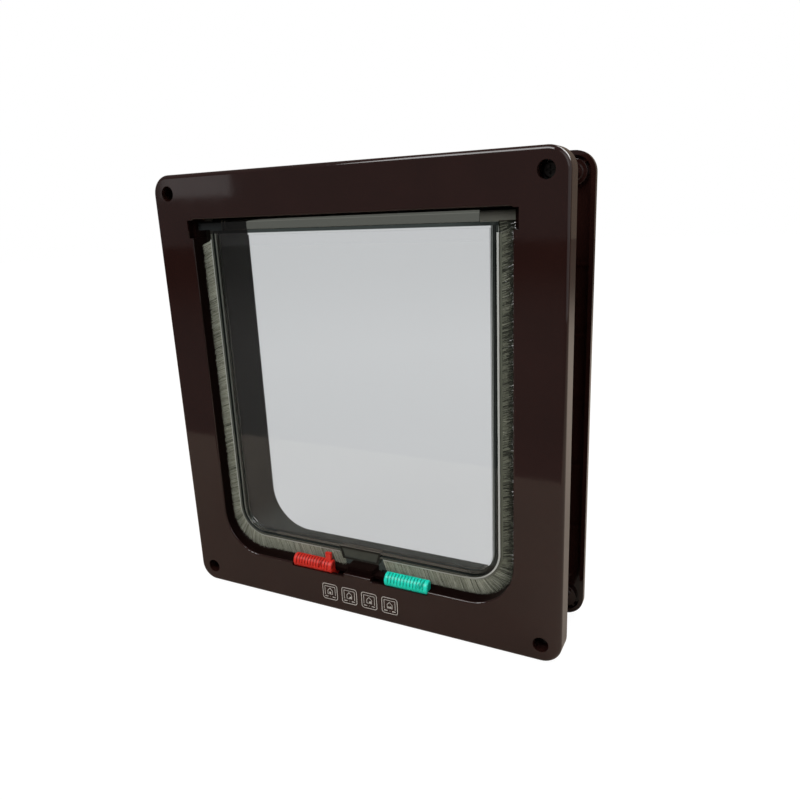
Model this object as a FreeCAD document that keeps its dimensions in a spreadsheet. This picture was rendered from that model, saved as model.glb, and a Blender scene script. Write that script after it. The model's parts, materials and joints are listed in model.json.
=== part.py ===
import FreeCAD, Part
import math
import os
import re

import Sketcher

# Cat flap with a four-way lock: an inside frame and an outside frame that clamp a door between
# them, a tunnel through the door, and a tinted flap with a brush seal that swings in the tunnel.
# Frame of the part: X to the right and Y to the outside, both from the middle of the frames,
# Z up from the frames' bottom edge. Sizes in millimetres.

# Driving dimensions, grouped by the piece that they describe.
SIZES = {
    "frame_width": 235.0,
    "frame_height": 250.0,
    "overall_depth": 55.0,
    "corner_radius": 10.5,
    "edge_round": 2.2,
    "face_wall": 2.5,
    "rim_wall": 2.2,
    "inner_rim_depth": 12.0,
    "outer_rim_depth": 5.6,
    "side_border": 25.0,
    "aperture_sill": 25.5,
    "head_border": 24.3,
    "aperture_radius": 25.0,
    "aperture_top_radius": 1.5,
    "aperture_round": 0.8,
    "collar_wall": 2.0,
    "collar_depth": 20.0,
    "head_lip_drop": 1.6,
    "head_lip_depth": 2.0,
    "rib_thickness": 1.4,
    "rib_height": 5.0,
    "rib_bays": 7,
    "tunnel_side_gap": 1.5,
    "tunnel_sill_gap": 5.5,
    "tunnel_head_gap": 0.8,
    "tunnel_wall": 2.0,
    "tunnel_radius": 27.5,
    "tunnel_top_radius": 3.0,
    "tunnel_start": 15.0,
    "tunnel_mouth_round": 0.9,
    "screw_inset_x": 10.5,
    "screw_inset_z": 10.0,
    "counterbore_radius": 4.1,
    "counterbore_depth": 9.5,
    "inner_boss_radius": 6.2,
    "inner_hole_radius": 2.3,
    "outer_boss_radius": 6.3,
    "outer_boss_step": 0.7,
    "outer_tube_radius": 4.15,
    "boss_edge_round": 0.3,
    "pilot_depth": 4.6,
    "gusset_thickness": 1.6,
    "gusset_height": 1.8,
    "shank_radius": 2.0,
    "shank_slack": 0.05,
    "head_radius": 3.6,
    "head_height": 2.4,
    "screw_tip_gap": 0.5,
    "recess_width": 0.9,
    "recess_reach": 0.55,
    "recess_share": 0.5,
    "head_round_share": 0.33,
    "flap_setback": 5.5,
    "flap_thickness": 4.0,
    "flap_side_gap": 8.5,
    "flap_sill_gap": 11.0,
    "flap_radius": 17.0,
    "pane_thickness": 2.0,
    "ridge_width": 1.4,
    "groove_width": 1.4,
    "hinge_drop": 3.8,
    "bar_height": 5.4,
    "bar_depth": 5.0,
    "bar_end_inset": 9.0,
    "bar_round": 1.3,
    "bar_foot_round": 0.4,
    "barrel_step": 0.35,
    "barrel_end_gap": 0.3,
    "pin_radius": 1.3,
    "pin_slack": 0.05,
    "pin_seat": 12.0,
    "pocket_sideways": 2.6,
    "pocket_height": 9.6,
    "pocket_top_gap": 0.5,
    "pocket_depth": 10.7,
    "pocket_wall": 1.8,
    "bush_setback": 3.5,
    "bush_gap": 0.12,
    "backing_seat": 1.0,
    "backing_proud": 1.2,
    "backing_thickness": 2.3,
    "seat_slack": 0.05,
    "pile_length": 5.6,
    "pile_sill_length": 7.1,
    "pile_thickness": 3.2,
    "pile_radius": 23.0,
    "pile_slant": 3.2,
    "pile_barrel_gap": 0.5,
    "brush_top_drop": 7.5,
    "block_top_half": 13.3,
    "block_bottom_half": 11.5,
    "block_height": 7.7,
    "block_sill_gap": 6.9,
    "block_proud": 0.3,
    "block_side_gap": 1.0,
    "panel_margin": 1.1,
    "panel_depth": 0.45,
    "magnet_length": 14.0,
    "magnet_height": 4.0,
    "magnet_thickness": 2.4,
    "magnet_rise": 1.85,
    "cap_thickness": 0.9,
    "cap_margin": 1.0,
    "fit_gap": 0.1,
    "housing_half_width": 8.4,
    "housing_rise": 3.0,
    "housing_front": 3.4,
    "housing_back": 13.0,
    "housing_wall": 1.2,
    "sill_magnet_length": 12.0,
    "sill_magnet_width": 5.0,
    "sill_magnet_height": 4.0,
    "knob_inner_end": 17.2,
    "knob_length": 27.0,
    "knob_radius": 4.2,
    "knob_setback": 0.1,
    "knob_centre_rise": 0.5,
    "knob_lip_drop": 1.9,
    "knob_back": 4.8,
    "knob_end_round": 1.1,
    "knob_rib_pitch": 1.95,
    "knob_rib_count": 12,
    "knob_rib_depth": 0.45,
    "knob_rib_gap": 0.85,
    "lock_gap": 0.3,
    "lock_travel": 8.2,
    "foot_thickness": 3.0,
    "red_foot_back": 9.0,
    "post_width": 3.8,
    "post_inset": 1.3,
    "post_thickness": 2.0,
    "post_round": 0.5,
    "slot_round": 0.6,
    "post_top_gap": 0.5,
    "post_flap_gap": 0.9,
    "cover_half_length": 52.0,
    "cover_wall": 1.5,
    "cover_flange_height": 9.0,
    "cover_boss_radius": 3.2,
    "cover_boss_height": 4.0,
    "cover_screw_half_spacing": 40.0,
    "cover_screw_drop": 12.0,
    "cover_shank_radius": 1.1,
    "cover_head_radius": 2.3,
    "cover_head_height": 1.5,
}

# Places worked out from the driving dimensions.
PLACES = {
    "front": "-overall_depth / 2",
    "rear": "overall_depth / 2",
    "outer_seat": "rear - outer_rim_depth",
    "ap_half": "frame_width / 2 - side_border",
    "aperture_head": "frame_height - head_border",
    "tunnel_half": "ap_half + collar_wall + tunnel_side_gap",
    "tunnel_floor": "aperture_sill - collar_wall - tunnel_sill_gap",
    "tunnel_roof": "aperture_head + collar_wall + tunnel_head_gap",
    "screw_half_x": "frame_width / 2 - screw_inset_x",
    "screw_low": "screw_inset_z",
    "screw_high": "frame_height - screw_inset_z",
    "flap_front": "front + flap_setback",
    "flap_middle": "flap_front + flap_thickness / 2",
    "flap_back": "flap_front + flap_thickness",
    "flap_half": "ap_half - flap_side_gap",
    "flap_bottom": "aperture_sill + flap_sill_gap",
    "bar_half_length": "flap_half - bar_end_inset",
    "axis_height": "aperture_head - hinge_drop",
    "pocket_half": "ap_half + pocket_sideways",
    "pocket_high": "aperture_head - pocket_top_gap",
    "pocket_low": "pocket_high - pocket_height",
    "barrel_half": "ap_half - barrel_end_gap",
    "pin_end": "pocket_half - lock_gap",
    "pin_start": "barrel_half - pin_seat",
    "backing_half": "flap_half + backing_proud",
    "backing_low": "flap_bottom - backing_proud",
    "backing_inner_half": "flap_half - backing_seat + seat_slack",
    "backing_inner_low": "flap_bottom + backing_seat - seat_slack",
    "pile_half": "backing_half + pile_length",
    "pile_low": "backing_low - pile_sill_length",
    "pile_inner_top": "axis_height - brush_top_drop",
    "pile_right_top": "axis_height - bar_height / 2 + barrel_step - pile_barrel_gap",
    "brush_end": "block_top_half + block_side_gap",
    "block_bottom": "aperture_sill + block_sill_gap",
    "block_top": "block_bottom + block_height",
    "block_front": "flap_front - block_proud",
    "block_back": "flap_back + block_proud",
    "housing_top": "aperture_sill + housing_rise",
    "sill_magnet_middle": "front + (housing_front + housing_back) / 2",
    "magnet_low": "housing_top - housing_wall - fit_gap - sill_magnet_height",
    "sill_under": "aperture_sill - collar_wall",
    "knob_front": "front + knob_setback",
    "knob_centre_y": "knob_front + knob_radius",
    "knob_centre_z": "aperture_sill + knob_centre_rise",
    "knob_rear": "front + knob_back",
    "knob_outer_end": "knob_inner_end + knob_length",
    "knob_lip": "aperture_sill - knob_lip_drop",
    "slot_inner": "knob_inner_end - lock_travel - lock_gap",
    "slot_outer": "knob_outer_end + lock_gap",
    "slot_back": "knob_rear + lock_gap",
    "slot_low": "knob_lip - lock_gap",
    "foot_top": "sill_under - lock_gap",
    "foot_bottom": "foot_top - foot_thickness",
    "foot_front": "front + face_wall + lock_gap",
    "post_inner": "knob_inner_end + post_inset",
    "post_outer": "post_inner + post_width",
    "post_top": "backing_low - post_top_gap",
    "red_post_back": "flap_front - post_flap_gap",
    "green_post_front": "flap_back + post_flap_gap",
    "green_post_back": "green_post_front + post_thickness",
    "cover_floor": "foot_bottom - lock_gap",
    "cover_back_in": "green_post_back + lock_gap",
    "cover_back_out": "cover_back_in + cover_wall",
    "cover_boss_end": "front + face_wall + cover_boss_height",
    "cover_screw_height": "aperture_sill - cover_screw_drop",
    "cover_flange_low": "cover_floor - cover_wall - cover_flange_height",
}

doc = FreeCAD.newDocument("cat_flap")


def make_sheet(name, rows):
    sheet = doc.addObject("Spreadsheet::Sheet", name)
    for row, (alias, value) in enumerate(rows.items(), start=1):
        sheet.set(f"A{row}", alias)
        sheet.set(f"B{row}", value)
        sheet.setAlias(f"B{row}", alias)
    return sheet


def with_sheets(text, skip_places=False):
    """Writes each size and place in an expression with the name of the sheet that holds it."""

    def name_in_sheet(match):
        word = match.group()
        if word in SIZES:
            return f"sizes.{word}"
        if word in PLACES and not skip_places:
            return f"places.{word}"
        return word

    return re.sub(r"[a-z_]+", name_in_sheet, text)


sizes = make_sheet("sizes", {alias: str(value) for alias, value in SIZES.items()})
places = make_sheet(
    "places", {alias: "=" + with_sheets(rule, skip_places=True) for alias, rule in PLACES.items()}
)
doc.recompute()


def number(text):
    """The value of an expression of sizes and places, now."""
    value = sizes.evalExpression(with_sheets(text))
    return float(getattr(value, "Value", value))


def bind(thing, prop, text):
    thing.setExpression(prop, with_sheets(text))


def make_body(label):
    body = doc.addObject("PartDesign::Body", label)
    body.Label = label
    return body


def sketch_on(body, role, offset):
    """A sketch on one of the body's origin planes, moved along the plane's normal."""
    plane = next(item for item in body.Origin.OriginFeatures if item.Role == role)
    sketch = body.newObject("Sketcher::SketchObject", "sketch")
    sketch.AttachmentSupport = [(plane, "")]
    sketch.MapMode = "FlatFace"
    bind(sketch, "AttachmentOffset.Base.z", offset)
    return sketch


def face_sketch(body, depth):
    """Seen from the inside of the house: sketch x is X, sketch y is Z, at the given Y."""
    return sketch_on(body, "XZ_Plane", f"-({depth})")


def side_sketch(body, place):
    """Seen from the right: sketch x is Y, sketch y is Z, at the given X."""
    return sketch_on(body, "YZ_Plane", place)


def plan_sketch(body, height):
    """Seen from above: sketch x is X, sketch y is Y, at the given Z."""
    return sketch_on(body, "XY_Plane", height)


def hold(sketch, kind, places_held, text):
    """One dimension of the sketch, bound to an expression."""
    index = sketch.addConstraint(Sketcher.Constraint(kind, *places_held, number(text)))
    name = f"size_{index}"
    sketch.renameConstraint(index, name)
    bind(sketch, f"Constraints.{name}", text)


def hold_point(sketch, item, end, x, y):
    hold(sketch, "DistanceX", (-1, 1, item, end), x)
    hold(sketch, "DistanceY", (-1, 1, item, end), y)


def outline(sketch, corners):
    """A closed outline. A corner is (x, y), or (x, y, radius) between level and upright sides."""
    count = len(corners)
    spots = [FreeCAD.Vector(number(c[0]), number(c[1]), 0) for c in corners]
    radii = [number(c[2]) if len(c) > 2 else 0.0 for c in corners]
    ways = [(spots[(i + 1) % count] - spots[i]).normalize() for i in range(count)]
    first = sketch.GeometryCount
    for i in range(count):
        after = (i + 1) % count
        start = spots[i] + ways[i] * radii[i]
        end = spots[after] - ways[i] * radii[after]
        sketch.addGeometry(Part.LineSegment(start, end), False)
    arcs = {}
    for i in range(count):
        if radii[i]:
            arcs[i] = add_arc(sketch, spots[i], ways[i - 1], ways[i], radii[i])
    for i in range(count):
        before = (i - 1) % count
        if i in arcs:
            item, entry, leave = arcs[i]
            sketch.addConstraint(Sketcher.Constraint("Tangent", first + before, 2, item, entry))
            sketch.addConstraint(Sketcher.Constraint("Tangent", item, leave, first + i, 1))
            hold(sketch, "Radius", (item,), corners[i][2])
        else:
            sketch.addConstraint(Sketcher.Constraint("Coincident", first + before, 2, first + i, 1))
            hold_point(sketch, first + i, 1, corners[i][0], corners[i][1])
    for i in range(count):
        after = (i + 1) % count
        if i not in arcs and after not in arcs:
            continue
        level = abs(ways[i].y) < abs(ways[i].x)
        sketch.addConstraint(Sketcher.Constraint("Horizontal" if level else "Vertical", first + i))
        if i in arcs and after in arcs:
            if level:
                hold(sketch, "DistanceY", (-1, 1, first + i, 1), corners[i][1])
            else:
                hold(sketch, "DistanceX", (-1, 1, first + i, 1), corners[i][0])


def add_arc(sketch, corner, way_in, way_out, radius):
    """The arc that rounds a corner; returns its index and the ends where the outline enters and leaves."""
    centre = corner - way_in * radius + way_out * radius
    entry = corner - way_in * radius - centre
    leave = corner + way_out * radius - centre
    angle_in = math.atan2(entry.y, entry.x)
    angle_out = math.atan2(leave.y, leave.x)
    circle = Part.Circle(centre, FreeCAD.Vector(0, 0, 1), radius)
    left_turn = way_in.cross(way_out).z > 0
    if left_turn:
        item = sketch.addGeometry(Part.ArcOfCircle(circle, angle_in, angle_out), False)
        return item, 1, 2
    item = sketch.addGeometry(Part.ArcOfCircle(circle, angle_out, angle_in), False)
    return item, 2, 1


def rectangle(sketch, left, low, right, high, radius=None):
    spots = [(left, low), (right, low), (right, high), (left, high)]
    outline(sketch, [spot + (radius,) if radius else spot for spot in spots])


def circle(sketch, x, y, radius):
    spot = FreeCAD.Vector(number(x), number(y), 0)
    item = sketch.addGeometry(Part.Circle(spot, FreeCAD.Vector(0, 0, 1), number(radius)), False)
    hold_point(sketch, item, 3, x, y)
    hold(sketch, "Radius", (item,), radius)


def arch(sketch, half, low, high, radius, top_radius):
    """The outline that the apertures and the tunnel share: wide bottom corners, tight top ones."""
    outline(
        sketch,
        [
            (f"-({half})", low, radius),
            (half, low, radius),
            (half, high, top_radius),
            (f"-({half})", high, top_radius),
        ],
    )


def grow(body, sketch, length, against_normal=False, name="pad"):
    pad = body.newObject("PartDesign::Pad", name)
    pad.Profile = sketch
    bind(pad, "Length", length)
    pad.Reversed = against_normal
    doc.recompute()
    return pad


def cut(body, sketch, length, along_normal=False, name="pocket"):
    """Cuts against the sketch's normal, or along it, and makes sure that it removed something."""
    before = body.Tip.Shape.Volume
    pocket = body.newObject("PartDesign::Pocket", name)
    pocket.Profile = sketch
    bind(pocket, "Length", length)
    pocket.Reversed = along_normal
    doc.recompute()
    if not pocket.Shape.Volume < before - 1e-3:
        raise RuntimeError(f"{body.Label}: {name} removes nothing")
    return pocket


def round_edges(body, radius, wanted, name="fillet"):
    base = body.Tip
    names = [f"Edge{n}" for n, edge in enumerate(base.Shape.Edges, start=1) if wanted(edge)]
    fillet = body.newObject("PartDesign::Fillet", name)
    fillet.Base = (base, names)
    bind(fillet, "Radius", radius)
    doc.recompute()
    return fillet


def lies_at(edge, axis, text, slack=1e-4):
    """Whether the whole edge lies at one value of x, y or z."""
    box = edge.BoundBox
    low, high = {"x": (box.XMin, box.XMax), "y": (box.YMin, box.YMax), "z": (box.ZMin, box.ZMax)}[axis]
    goal = number(text)
    return abs(low - goal) < slack and abs(high - goal) < slack


def both_sides(x):
    return ((-1, f"-({x})"), (1, x))


def corner_spots():
    for _, x in both_sides("screw_half_x"):
        for height in ("screw_low", "screw_high"):
            yield x, height


def make_shell(body, near, rim_depth, toward_rear):
    """The face, rim and hollow back that both frames share; near is the face's outside plane."""
    half = "frame_width / 2"
    block = face_sketch(body, near)
    rectangle(block, f"-{half}", "0", half, "frame_height", "corner_radius")
    grow(body, block, rim_depth, against_normal=toward_rear, name="face_block")
    round_edges(body, "edge_round", lambda edge: lies_at(edge, "y", near), "face_round")
    seat = f"{near} + {rim_depth}" if toward_rear else f"{near} - {rim_depth}"
    hollow = face_sketch(body, seat)
    inset = f"{half} - rim_wall"
    rectangle(
        hollow, f"-({inset})", "rim_wall", inset, "frame_height - rim_wall", "corner_radius - rim_wall"
    )
    cut(body, hollow, f"{rim_depth} - face_wall", along_normal=toward_rear, name="hollow_back")


def make_inner_frame():
    """Inside frame: moulded shell with a short collar, screw bosses, pivot pockets and lock slots."""
    body = make_body("inner_frame")
    make_shell(body, "front", "inner_rim_depth", toward_rear=True)
    root = "front + face_wall / 2"

    collar = face_sketch(body, root)
    arch(
        collar,
        "ap_half + collar_wall",
        "sill_under",
        "aperture_head + collar_wall",
        "aperture_radius + collar_wall",
        "aperture_top_radius + collar_wall",
    )
    grow(body, collar, "collar_depth - face_wall / 2", True, "collar")

    bosses = face_sketch(body, root)
    for x, height in corner_spots():
        circle(bosses, x, height, "inner_boss_radius")
    grow(body, bosses, "inner_rim_depth - face_wall / 2", True, "screw_bosses")

    cover_bosses = face_sketch(body, root)
    for _, x in both_sides("cover_screw_half_spacing"):
        circle(cover_bosses, x, "cover_screw_height", "cover_boss_radius")
    grow(body, cover_bosses, "cover_boss_height + face_wall / 2", True, "cover_bosses")

    add_ribs(body, root, "rib_height + face_wall / 2", "ap_half + collar_wall", "sill_under",
             "aperture_head + collar_wall", toward_rear=True)

    pockets = face_sketch(body, root)
    wall = "pocket_wall"
    for side, _ in both_sides("pocket_half"):
        rectangle(
            pockets,
            f"{side} * (ap_half + collar_wall / 2)",
            f"pocket_low - {wall}",
            f"{side} * (pocket_half + {wall})",
            f"pocket_high + {wall}",
        )
    grow(body, pockets, "pocket_depth + pocket_wall - face_wall / 2", True, "pivot_housings")

    aperture = face_sketch(body, "front")
    arch(aperture, "ap_half", "aperture_sill", "aperture_head", "aperture_radius", "aperture_top_radius")
    cut(body, aperture, "overall_depth", name="aperture")
    round_edges(body, "aperture_round", lambda edge: at_mouth(edge, "front", "ap_half",
                "aperture_sill", "aperture_head"), "aperture_edge")

    lip = face_sketch(body, "front + collar_depth - head_lip_depth")
    lip_half = "ap_half + collar_wall / 2"
    rectangle(
        lip, f"-({lip_half})", "aperture_head - head_lip_drop", lip_half, "aperture_head + collar_wall / 2"
    )
    grow(body, lip, "head_lip_depth", True, "head_lip")

    housing = plan_sketch(body, "sill_under")
    rectangle(
        housing,
        "-housing_half_width",
        "front + housing_front",
        "housing_half_width",
        "front + housing_back",
        "housing_wall",
    )
    grow(body, housing, "housing_top - sill_under", name="magnet_housing")
    cavity = plan_sketch(body, "sill_under")
    magnet_place(cavity, "fit_gap")
    cut(body, cavity, "housing_top - housing_wall - sill_under", along_normal=True, name="magnet_cavity")

    notches = face_sketch(body, "front")
    for side, _ in both_sides("pocket_half"):
        rectangle(
            notches,
            f"{side} * (ap_half - collar_wall)",
            "pocket_low",
            f"{side} * pocket_half",
            "pocket_high",
        )
    cut(body, notches, "pocket_depth", name="pivot_pockets")

    slots = face_sketch(body, "front")
    for side, _ in both_sides("slot_inner"):
        rectangle(
            slots,
            f"{side} * slot_inner",
            "slot_low",
            f"{side} * slot_outer",
            "aperture_sill + slot_back - front",
            "slot_round",
        )
    cut(body, slots, "slot_back - front", name="knob_slots")
    post_slot = plan_sketch(body, "aperture_sill + lock_gap")
    rectangle(
        post_slot,
        "post_inner - lock_travel - lock_gap",
        "green_post_front - lock_gap",
        "post_outer + lock_gap",
        "green_post_back + lock_gap",
    )
    cut(body, post_slot, "collar_wall + 2 * lock_gap", name="green_post_slot")

    counterbores = face_sketch(body, "front")
    holes = face_sketch(body, "front")
    for x, height in corner_spots():
        circle(counterbores, x, height, "counterbore_radius")
        circle(holes, x, height, "inner_hole_radius")
    cut(body, counterbores, "counterbore_depth", name="counterbores")
    cut(body, holes, "inner_rim_depth + face_wall", name="screw_holes")

    pilots = face_sketch(body, "cover_boss_end")
    for _, x in both_sides("cover_screw_half_spacing"):
        circle(pilots, x, "cover_screw_height", "cover_shank_radius + shank_slack")
    cut(body, pilots, "cover_boss_height", along_normal=True, name="cover_screw_pilots")
    return body


def at_mouth(edge, depth, half, low, high):
    """Whether an edge belongs to the opening's outline at the face."""
    box = edge.BoundBox
    room = 1e-3
    inside = abs(box.XMin) < number(half) + room and abs(box.XMax) < number(half) + room
    level = box.ZMin > number(low) - room and box.ZMax < number(high) + room
    return lies_at(edge, "y", depth) and inside and level


def magnet_place(sketch, gap):
    """The sill magnet's outline from above, grown by a gap."""
    half = f"sill_magnet_length / 2 + {gap}"
    reach = f"(sill_magnet_width / 2 + {gap})"
    rectangle(sketch, f"-({half})", f"sill_magnet_middle - {reach}", half, f"sill_magnet_middle + {reach}")


def add_ribs(body, root, length, half, low, high, toward_rear):
    """Stiffening ribs between the rim and the collar or tunnel, at an even pitch."""
    thick = "rib_thickness / 2"
    rim = "rim_wall / 2"
    sketch = face_sketch(body, root)
    for step in (-2, -1, 0, 1, 2):
        x = f"{step} * frame_width / rib_bays"
        rectangle(sketch, f"{x} - {thick}", f"{high} - {rim}", f"{x} + {thick}", f"frame_height - {rim}")
        height = f"frame_height / 2 + {step} * frame_height / rib_bays"
        for side, _ in both_sides(half):
            near, far = f"{side} * ({half} - {rim})", f"{side} * (frame_width / 2 - {rim})"
            rectangle(sketch, near, f"{height} - {thick}", far, f"{height} + {thick}")
    for step in (-2, 2):
        x = f"{step} * frame_width / rib_bays"
        rectangle(sketch, f"{x} - {thick}", rim, f"{x} + {thick}", f"{low} + {rim}")
    grow(body, sketch, length, toward_rear, "ribs")


def make_outer_frame():
    """Outside frame: shallow shell, the tunnel through the door and blind bosses for the screws."""
    body = make_body("outer_frame")
    make_shell(body, "rear", "outer_rim_depth", toward_rear=False)
    root = "rear - face_wall / 2"

    tunnel = face_sketch(body, root)
    wall = "tunnel_wall"
    arch(
        tunnel,
        f"tunnel_half + {wall}",
        f"tunnel_floor - {wall}",
        f"tunnel_roof + {wall}",
        f"tunnel_radius + {wall}",
        f"tunnel_top_radius + {wall}",
    )
    grow(body, tunnel, "overall_depth - tunnel_start - face_wall / 2", name="tunnel")

    collars = face_sketch(body, root)
    tubes = face_sketch(body, root)
    for x, height in corner_spots():
        circle(collars, x, height, "outer_boss_radius")
        circle(tubes, x, height, "outer_tube_radius")
    grow(body, collars, "outer_rim_depth - outer_boss_step - face_wall / 2", name="screw_bosses")
    grow(body, tubes, "outer_rim_depth - face_wall / 2", name="boss_tubes")
    round_edges(
        body,
        "boss_edge_round",
        lambda edge: hasattr(edge.Curve, "Radius")
        and (lies_at(edge, "y", "outer_seat") or lies_at(edge, "y", "outer_seat + outer_boss_step"))
        and edge.Curve.Radius < number("outer_boss_radius") + number("boss_edge_round"),
        "boss_edges",
    )
    add_gussets(body, root)
    add_ribs(body, root, "gusset_height + face_wall / 2", "tunnel_half + tunnel_wall",
             "tunnel_floor - tunnel_wall", "tunnel_roof + tunnel_wall", toward_rear=False)

    opening = face_sketch(body, "rear")
    arch(opening, "tunnel_half", "tunnel_floor", "tunnel_roof", "tunnel_radius", "tunnel_top_radius")
    cut(body, opening, "overall_depth", along_normal=True, name="opening")
    round_edges(body, "tunnel_mouth_round", lambda edge: at_mouth(edge, "rear", "tunnel_half",
                "tunnel_floor", "tunnel_roof"), "mouth_edge")

    pilots = face_sketch(body, "outer_seat")
    for x, height in corner_spots():
        circle(pilots, x, height, "shank_radius + shank_slack")
    cut(body, pilots, "pilot_depth", name="screw_pilots")
    return body


def add_gussets(body, root):
    """One gusset from each screw boss into its corner of the rim, on the diagonal."""
    sketch = face_sketch(body, root)
    reach = "(corner_radius - rim_wall / 2) * sqrt(1 / 2)"
    half = "gusset_thickness / 2 * sqrt(1 / 2)"
    for side, x in both_sides("screw_half_x"):
        for up, height in ((-1, "screw_low"), (1, "screw_high")):
            far_x, far_height = f"{x} + {side} * {reach}", f"{height} + {up} * {reach}"
            turn = side * up
            outline(
                sketch,
                [
                    (f"{x} + {half}", f"{height} - {turn} * {half}"),
                    (f"{far_x} + {half}", f"{far_height} - {turn} * {half}"),
                    (f"{far_x} - {half}", f"{far_height} + {turn} * {half}"),
                    (f"{x} - {half}", f"{height} + {turn} * {half}"),
                ],
            )
    grow(body, sketch, "gusset_height + face_wall / 2", name="gussets")


def add_arch_ring(body, inset, width, top, top_width):
    """A raised ring on both faces of the pane, parallel to the flap's edge."""
    sketch = face_sketch(body, "flap_front")
    for more, high in (("0", top), (width, f"{top} - {top_width}")):
        gone = f"({inset} + {more})"
        half, low, radius = f"flap_half - {gone}", f"flap_bottom + {gone}", f"flap_radius - {gone}"
        corners = [(f"-({half})", low, radius), (half, low, radius), (half, high), (f"-({half})", high)]
        outline(sketch, corners)
    grow(body, sketch, "flap_thickness", True, "ridge")


def make_flap_pane():
    """Flap: one clear tinted moulding with two ridges, a brush channel, a hinge bar and its barrels."""
    body = make_body("flap_pane")
    pane = face_sketch(body, "flap_middle - pane_thickness / 2")
    half, low = "flap_half - backing_seat", "flap_bottom + backing_seat"
    radius = "flap_radius - backing_seat"
    outline(
        pane,
        [
            (f"-({half})", low, radius),
            (half, low, radius),
            (half, "axis_height"),
            (f"-({half})", "axis_height"),
        ],
    )
    grow(body, pane, "pane_thickness", True, "pane")
    band_top = "axis_height"
    pane_top = "axis_height - bar_height / 2 - ridge_width"
    add_arch_ring(body, "0", "ridge_width", band_top, f"({band_top} - ({pane_top}))")
    add_arch_ring(body, "(ridge_width + groove_width)", "ridge_width", f"{pane_top} + seat_slack",
                  "ridge_width")

    channel = face_sketch(body, "flap_middle - backing_thickness / 2 - seat_slack")
    out_half, out_low = "flap_half + backing_seat", "flap_bottom - backing_seat"
    outline(
        channel,
        [
            (f"-({out_half})", "pile_inner_top"),
            (f"-({out_half})", out_low, "flap_radius + backing_seat"),
            (out_half, out_low, "flap_radius + backing_seat"),
            (out_half, "pile_inner_top"),
            (half, "pile_inner_top"),
            (half, low, radius),
            (f"-({half})", low, radius),
            (f"-({half})", "pile_inner_top"),
        ],
    )
    cut(body, channel, "backing_thickness + 2 * seat_slack", name="brush_channel")

    notch = face_sketch(body, "flap_front")
    holder_outline(notch, "seat_slack")
    cut(body, notch, "flap_thickness", name="holder_notch")

    steps = (("bar_half_length", "0", "hinge_bar"), ("barrel_half", "barrel_step", "barrel"))
    for half_length, step, name in steps:
        section = side_sketch(body, f"-{half_length}")
        bar_section(section, step)
        grow(body, section, f"2 * {half_length}", name=name)
    for side, end in both_sides("barrel_half"):
        bore = side_sketch(body, end)
        circle(bore, "flap_middle", "axis_height", "pin_radius + pin_slack")
        cut(body, bore, "pin_seat", along_normal=side < 0, name="pin_bore")
    return body


def bar_section(sketch, step):
    """The hinge bar's section, made smaller all round by a step: round edges above, crisp ones below."""
    near, far = f"flap_middle - bar_depth / 2 + {step}", f"flap_middle + bar_depth / 2 - {step}"
    low, high = f"axis_height - bar_height / 2 + {step}", f"axis_height + bar_height / 2 - {step}"
    outline(
        sketch,
        [
            (near, low, "bar_foot_round"),
            (far, low, "bar_foot_round"),
            (far, high, "bar_round"),
            (near, high, "bar_round"),
        ],
    )


def holder_outline(sketch, gap):
    """The magnet holder's tapered outline from the front, grown by a gap."""
    bottom, top = f"block_bottom_half + ({gap})", f"block_top_half + ({gap})"
    low, high = f"block_bottom - ({gap})", f"block_top + ({gap})"
    outline(sketch, [(f"-({bottom})", low), (bottom, low), (top, high), (f"-({top})", high)])


def make_magnet_holder():
    """Holder set into the flap's bottom edge: the locks' posts stop it, and it carries the magnet."""
    body = make_body("magnet_holder")
    block = face_sketch(body, "block_front")
    holder_outline(block, "0")
    grow(body, block, "flap_thickness + 2 * block_proud", True, "block")
    panel = face_sketch(body, "block_front")
    holder_outline(panel, "-panel_margin")
    cut(body, panel, "panel_depth", name="front_panel")
    seat = face_sketch(body, "block_back")
    magnet_window(seat, "cap_margin + fit_gap")
    cut(body, seat, "cap_thickness", along_normal=True, name="cap_seat")
    hole = face_sketch(body, "block_back")
    magnet_window(hole, "fit_gap")
    cut(body, hole, "cap_thickness + magnet_thickness + fit_gap", along_normal=True, name="magnet_pocket")
    return body


def magnet_window(sketch, margin):
    """The flap magnet's outline from the front, grown by a margin."""
    half = f"magnet_length / 2 + {margin}"
    low = f"block_bottom + magnet_rise - ({margin})"
    rectangle(sketch, f"-({half})", low, half, f"block_bottom + magnet_rise + magnet_height + {margin}")


def make_brush_backing(label, side):
    """The brush's base strip, pressed into the channel round one half of the flap."""
    body = make_body(label)
    sketch = face_sketch(body, "flap_middle - backing_thickness / 2")
    outer_round, inner_round = "flap_radius + backing_proud", "flap_radius - backing_seat + seat_slack"
    outline(
        sketch,
        [
            (f"{side} * brush_end", "backing_low"),
            (f"{side} * backing_half", "backing_low", outer_round),
            (f"{side} * backing_half", "pile_inner_top"),
            (f"{side} * backing_inner_half", "pile_inner_top"),
            (f"{side} * backing_inner_half", "backing_inner_low", inner_round),
            (f"{side} * brush_end", "backing_inner_low"),
        ],
    )
    grow(body, sketch, "backing_thickness", True, "strip")
    return body


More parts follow.
